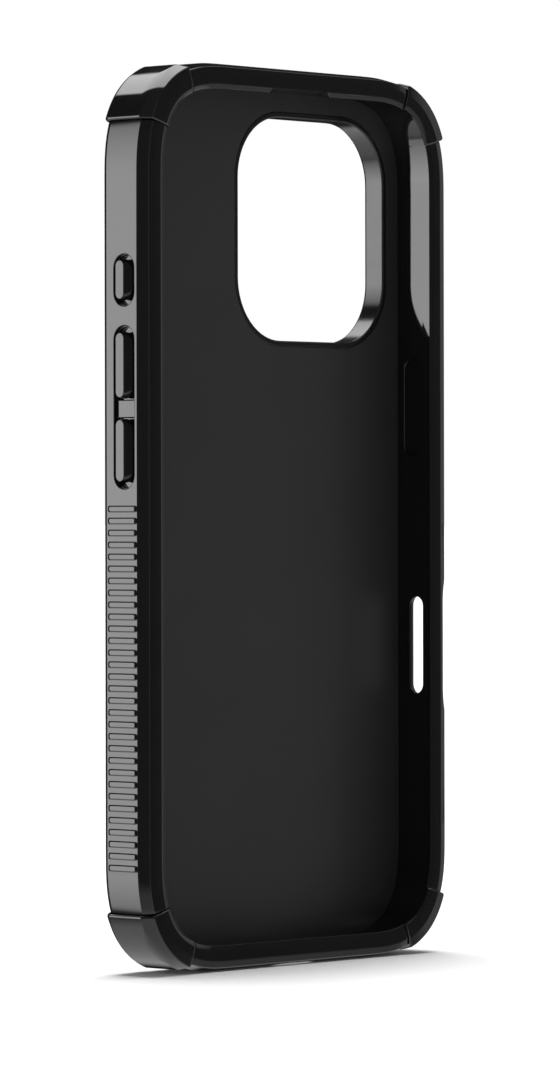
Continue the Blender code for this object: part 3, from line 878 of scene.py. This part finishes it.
def build_case():
    looks = make_materials()
    set_piece(make_frame(looks["frame"]), "case", "bumper_frame")
    for name, side_x, side_z in CORNERS:
        cushion = make_cushion(name, side_x, side_z, looks["cushion"])
        set_piece(cushion, "case", f"corner_cushion_{name}")
    set_piece(make_back_plate(looks["plate"]), "case", "back_plate")
    set_piece(make_camera_surround(looks["surround"]), "case", "camera_surround")
    for node, (body, side, middle_z, top_length) in BUTTONS.items():
        cap = make_button(node, side, middle_z, top_length, looks["button"])
        set_piece(cap, body, node)


# The studio


VIEW_AZIMUTH = math.radians(-47.86)
VIEW_ELEVATION = math.radians(0.246)
VIEW_ROLL = math.radians(-0.108)
VIEW_DISTANCE = 0.97035
VIEW_ASIDE = -3.54 * MM
VIEW_UP = -3.77 * MM
LENS = 184.38
CLIP_DISTANCES = (0.05, 60)

FLOOR_HALF_SIZE = 30
OVERHEAD_STRENGTH = 3.4
OVERHEAD_WIDTH = math.radians(32)
OVERHEAD_FROM = (0.11, 0.1, 1.0)
# The even light that the floor and other dull surfaces get.
SKY_FOR_DULL_SURFACES = 0.3


def make_camera():
    azimuth, elevation, roll = VIEW_AZIMUTH, VIEW_ELEVATION, VIEW_ROLL
    back = Vector((
        math.sin(azimuth) * math.cos(elevation), -math.cos(azimuth) * math.cos(elevation), math.sin(elevation)
    ))
    level_right = (-back).cross(Vector((0, 0, 1))).normalized()
    level_up = level_right.cross(-back)
    right = math.cos(roll) * level_right + math.sin(roll) * level_up
    up = math.cos(roll) * level_up - math.sin(roll) * level_right
    data = bpy.data.cameras.new("camera")
    data.sensor_fit = "AUTO"
    data.sensor_width = 36
    data.lens = LENS
    data.clip_start, data.clip_end = CLIP_DISTANCES
    camera = bpy.data.objects.new("camera", data)
    position = at(0, 0, 0) + back * VIEW_DISTANCE + level_right * VIEW_ASIDE + level_up * VIEW_UP
    axes = Matrix((right, up, back)).transposed().to_4x4()
    camera.matrix_world = Matrix.Translation(position) @ axes
    bpy.context.scene.collection.objects.link(camera)
    bpy.context.scene.camera = camera


def make_floor():
    bm = bmesh.new()
    bmesh.ops.create_grid(bm, x_segments=1, y_segments=1, size=FLOOR_HALF_SIZE)
    shader = Shader("pale floor")
    shader.set(Roughness=0.9, Specular_IOR_Level=0.0)
    shade = shader.mix(shader.noise(3.0, 2.0), *FLOOR_WHITES)
    shader.join(shade, shader.main, "Base Color")
    floor = finished("floor", bm, shader.material)
    floor.location.z = FRAME_LOW[2]
    floor.visible_glossy = False


def make_lights():
    """A soft overhead light, a little behind the case, that whitens the floor and leaves no reflection."""
    sun = bpy.data.lights.new("overhead", "SUN")
    sun.energy = OVERHEAD_STRENGTH
    sun.angle = OVERHEAD_WIDTH
    overhead = bpy.data.objects.new("overhead", sun)
    overhead.rotation_euler = Vector(OVERHEAD_FROM).to_track_quat("Z", "Y").to_euler()
    overhead.visible_glossy = False
    bpy.context.scene.collection.objects.link(overhead)


class Sky:
    """The studio's softboxes, painted on the world by direction."""

    def __init__(self):
        world = bpy.data.worlds.new("studio")
        world.use_nodes = True
        bpy.context.scene.world = world
        self.nodes, self.links = world.node_tree.nodes, world.node_tree.links
        split = self.nodes.new("ShaderNodeSeparateXYZ")
        self.links.new(self.nodes.new("ShaderNodeTexCoord").outputs["Generated"], split.inputs[0])
        self.x, self.y, self.z = split.outputs
        self.total = None

    def math(self, operation, *values):
        node = self.nodes.new("ShaderNodeMath")
        node.operation = operation
        for index, value in enumerate(values):
            if isinstance(value, (int, float)):
                node.inputs[index].default_value = value
            else:
                self.links.new(value, node.inputs[index])
        return node.outputs[0]

    def step(self, value, edge, soft):
        """Nothing below the edge and one above it."""
        node = self.nodes.new("ShaderNodeMapRange")
        node.interpolation_type = "SMOOTHSTEP"
        self.links.new(value, node.inputs["Value"])
        node.inputs["From Min"].default_value = edge - soft
        node.inputs["From Max"].default_value = edge + soft
        return node.outputs["Result"]

    def window(self, value, low, high, soft):
        """One between low and high, and nothing outside."""
        return self.math("SUBTRACT", self.step(value, low, soft), self.step(value, high, soft))

    def span(self, angle, low, high, soft):
        """A window on an angle, in degrees."""
        return self.window(angle, math.radians(low), math.radians(high), math.radians(soft))

    def add(self, radiance, *masks):
        """A softbox where all the masks overlap."""
        value = masks[0]
        for mask in masks[1:]:
            value = self.math("MULTIPLY", value, mask)
        value = self.math("MULTIPLY", value, radiance)
        self.total = value if self.total is None else self.math("ADD", self.total, value)


def make_world():
    """White behind the case, even light for dull surfaces, and a dark studio with softboxes to reflect.

    A bearing is measured from the left of the case, and grows towards its back.
    """
    sky = Sky()
    bearing = sky.math("ARCTAN2", sky.y, sky.math("MULTIPLY", sky.x, -1))
    height = sky.math("ARCSINE", sky.z)
    # The side box, which the left side mirrors, dims upwards and downwards.
    side_level = sky.math("SUBTRACT", 5.8, sky.math("MULTIPLY", sky.math("ABSOLUTE", height), 6.4))
    sky.add(side_level, sky.span(bearing, 30, 51, 1.5), sky.span(height, -33, 33, 2))
    # The overhead box is a rectangle on a level ceiling, and dims towards the right.
    above = sky.step(sky.z, 0.2, 0.1)
    clear_z = sky.math("MAXIMUM", sky.z, 0.1)
    across = sky.math("DIVIDE", sky.x, clear_z)
    beyond = sky.math("DIVIDE", sky.y, clear_z)
    ceiling = sky.math("MULTIPLY", sky.window(across, -0.2, 0.78, 0.03), sky.window(beyond, 0.0, 1.09, 0.03))
    sky.add(sky.math("SUBTRACT", 4.5, sky.math("MULTIPLY", across, 2.6)), above, ceiling)
    # The bounce from below is stronger at the back.
    below = sky.math("SUBTRACT", 1.0, sky.step(height, math.radians(-33), math.radians(6)))
    sky.add(0.75, below, sky.step(sky.y, 0.5, 0.2))
    sky.add(0.4, below)
    # A high box in front, to the right.
    front = sky.window(sky.math("ARCTAN2", sky.x, sky.math("MULTIPLY", sky.y, -1)), 0.4, 1.3, 0.3)
    sky.add(1.4, front, sky.span(height, 32, 60, 6))
    # Strips at the case's own height, to the left front, the right front and the right.
    level = sky.span(height, -50, 50, 12)
    sky.add(1.5, level, sky.span(bearing, -61, -50, 2))
    sky.add(0.45, level, sky.span(bearing, -166, -147, 3))
    sky.add(0.12, level, sky.step(sky.x, 0.97, 0.02))
    # A weak fill from the front and the sides, stronger from low down, and one from everywhere.
    near = sky.math("SUBTRACT", 1.0, sky.step(sky.y, 0.4, 0.2))
    sky.add(0.08, near)
    sky.add(0.5, near, sky.step(sky.math("MULTIPLY", sky.z, -1), 0.27, 0.1))
    sky.add(0.02, sky.step(sky.z, -2.0, 0.1))
    rays = sky.nodes.new("ShaderNodeLightPath")
    strength = sky.total
    for kind, shown in (("Is Diffuse Ray", SKY_FOR_DULL_SURFACES), ("Is Camera Ray", 1.0)):
        mix = sky.nodes.new("ShaderNodeMix")
        mix.data_type = "FLOAT"
        sky.links.new(rays.outputs[kind], mix.inputs["Factor"])
        sky.links.new(strength, mix.inputs["A"])
        mix.inputs["B"].default_value = shown
        strength = mix.outputs["Result"]
    sky.links.new(strength, sky.nodes["Background"].inputs["Strength"])
    sky.nodes["Background"].inputs["Color"].default_value = (1, 1, 1, 1)


def make_studio():
    make_camera()
    make_floor()
    make_lights()
    make_world()
    bpy.context.scene.view_settings.view_transform = "Standard"


make_studio()
build_case()
bpy.context.view_layer.update()
